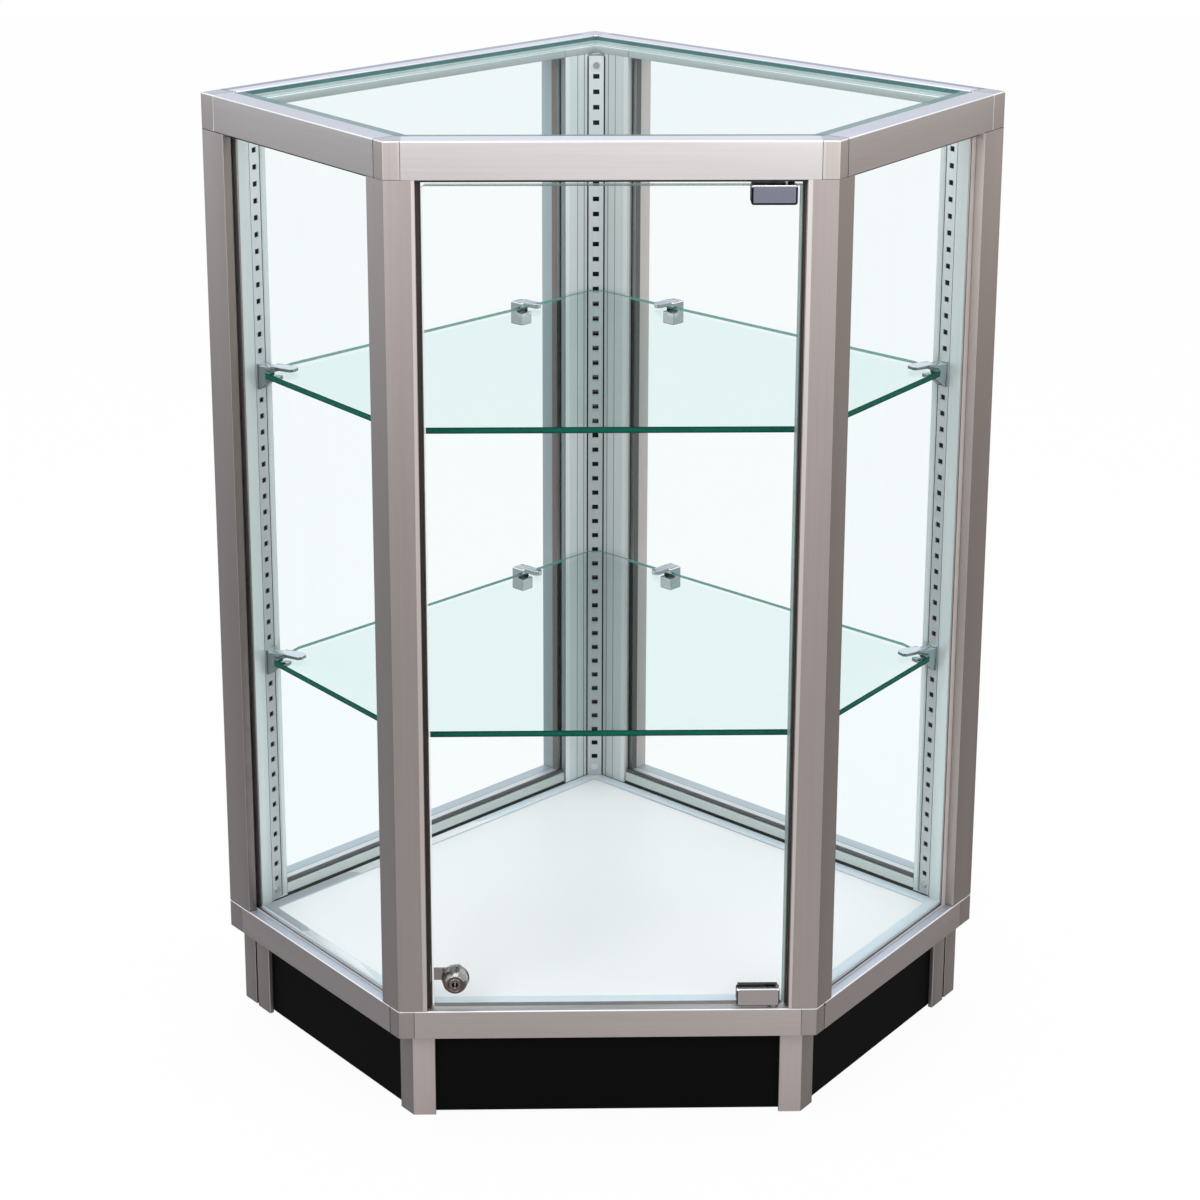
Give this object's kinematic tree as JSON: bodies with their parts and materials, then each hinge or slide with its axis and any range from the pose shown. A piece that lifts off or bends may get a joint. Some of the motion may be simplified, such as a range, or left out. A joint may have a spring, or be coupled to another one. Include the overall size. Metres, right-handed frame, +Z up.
{
  "type": "corner display case",
  "caption": "Five-sided glass corner display case: satin metal frame, hinged lockable front door, glass shelves on slotted standards, white deck and dark recessed plinth on legs.",
  "frame": {"origin": "centre of the bounding box at floor level, under the leg feet", "axes": "+Z up, -Y towards the door front, +X to the right of someone facing the door, +Y towards the square rear corner"},
  "size_m": [0.7754, 0.6554, 0.965],
  "materials": {
    "post_metal": "satin brushed",
    "top_rail_metal": "satin brushed",
    "bottom_rail_metal": "satin brushed",
    "corner_metal": "satin",
    "leg_metal": "satin brushed",
    "standard_metal": "satin",
    "rim_metal": "satin",
    "side_glass": "polished",
    "door_glass": "polished",
    "top_glass": "polished",
    "shelf_glass": "polished",
    "bright_chrome": "polished",
    "hinge_steel": "satin",
    "screw_steel": "satin",
    "glazing_tape": "matt",
    "black_rubber": "matt",
    "pin_black": "matt",
    "deck_white": "smooth laminate",
    "kick_black": "matt laminate"
  },
  "bodies": {
    "case": {"back_bottom_corner": "corner_metal", "back_leg": "leg_metal", "back_post": "post_metal", "back_standard": "standard_metal", "back_top_corner": "corner_metal", "bottom_pivot_pin": "bright_chrome", "deck_panel": "deck_white", "deck_rims": "rim_metal", "front_bottom_rail": "bottom_rail_metal", "front_legs": "leg_metal", "front_top_rail": "top_rail_metal", "glazing_tapes": "glazing_tape", "kick_panels": "kick_black", "left_flank_bottom_rail": "bottom_rail_metal", "left_flank_pane": "side_glass", "left_flank_top_rail": "top_rail_metal", "left_front_bottom_corner": "corner_metal", "left_front_post": "post_metal", "left_front_top_corner": "corner_metal", "left_rear_bottom_rail": "bottom_rail_metal", "left_rear_pane": "side_glass", "left_rear_top_rail": "top_rail_metal", "left_side_bottom_corner": "corner_metal", "left_side_post": "post_metal", "left_side_rear_post": "post_metal", "left_side_top_corner": "corner_metal", "left_standard": "standard_metal", "lower_shelf": "shelf_glass", "lower_shelf_brackets": "bright_chrome", "lower_shelf_clips": "bright_chrome", "right_flank_bottom_rail": "bottom_rail_metal", "right_flank_pane": "side_glass", "right_flank_top_rail": "top_rail_metal", "right_front_bottom_corner": "corner_metal", "right_front_post": "post_metal", "right_front_top_corner": "corner_metal", "right_rear_bottom_rail": "bottom_rail_metal", "right_rear_pane": "side_glass", "right_rear_top_rail": "top_rail_metal", "right_side_bottom_corner": "corner_metal", "right_side_post": "post_metal", "right_side_rear_post": "post_metal", "right_side_top_corner": "corner_metal", "right_standard": "standard_metal", "side_legs": "leg_metal", "standard_screws": "screw_steel", "top_glass": "top_glass", "top_pivot_pin": "pin_black", "upper_shelf": "shelf_glass", "upper_shelf_brackets": "bright_chrome", "upper_shelf_clips": "bright_chrome"},
    "door": {"door_pane": "door_glass", "top_hinge_clamp": "hinge_steel", "bottom_hinge_clamp": "hinge_steel", "hinge_clamp_pads": "black_rubber", "hinge_clamp_screws": "screw_steel", "lock_body": "bright_chrome", "lock_case": "bright_chrome"},
    "lock_plug": {"lock_plug": "bright_chrome"},
    "lock_bolt": {"lock_bolt": "bright_chrome"}
  },
  "joints": [
    {"name": "door_swing", "type": "hinge", "parent": "case", "child": "door", "pos_m": [0.16, -0.30769, 0.5], "axis": [0, 0, 1], "range_deg": [0, 110]},
    {"name": "lock_turn", "type": "hinge", "parent": "door", "child": "lock_plug", "pos_m": [-0.147, -0.3157, 0.151], "axis": [0, 1, 0], "range_deg": [0, 180]},
    {"name": "bolt_throw", "type": "slide", "parent": "door", "child": "lock_bolt", "axis": [-1, 0, 0], "range_m": [0, 0.006]}
  ],
  "couplings": [
    {"joint": "bolt_throw", "follows": "lock_turn", "m_per_rad": 0.0019098}
  ]
}
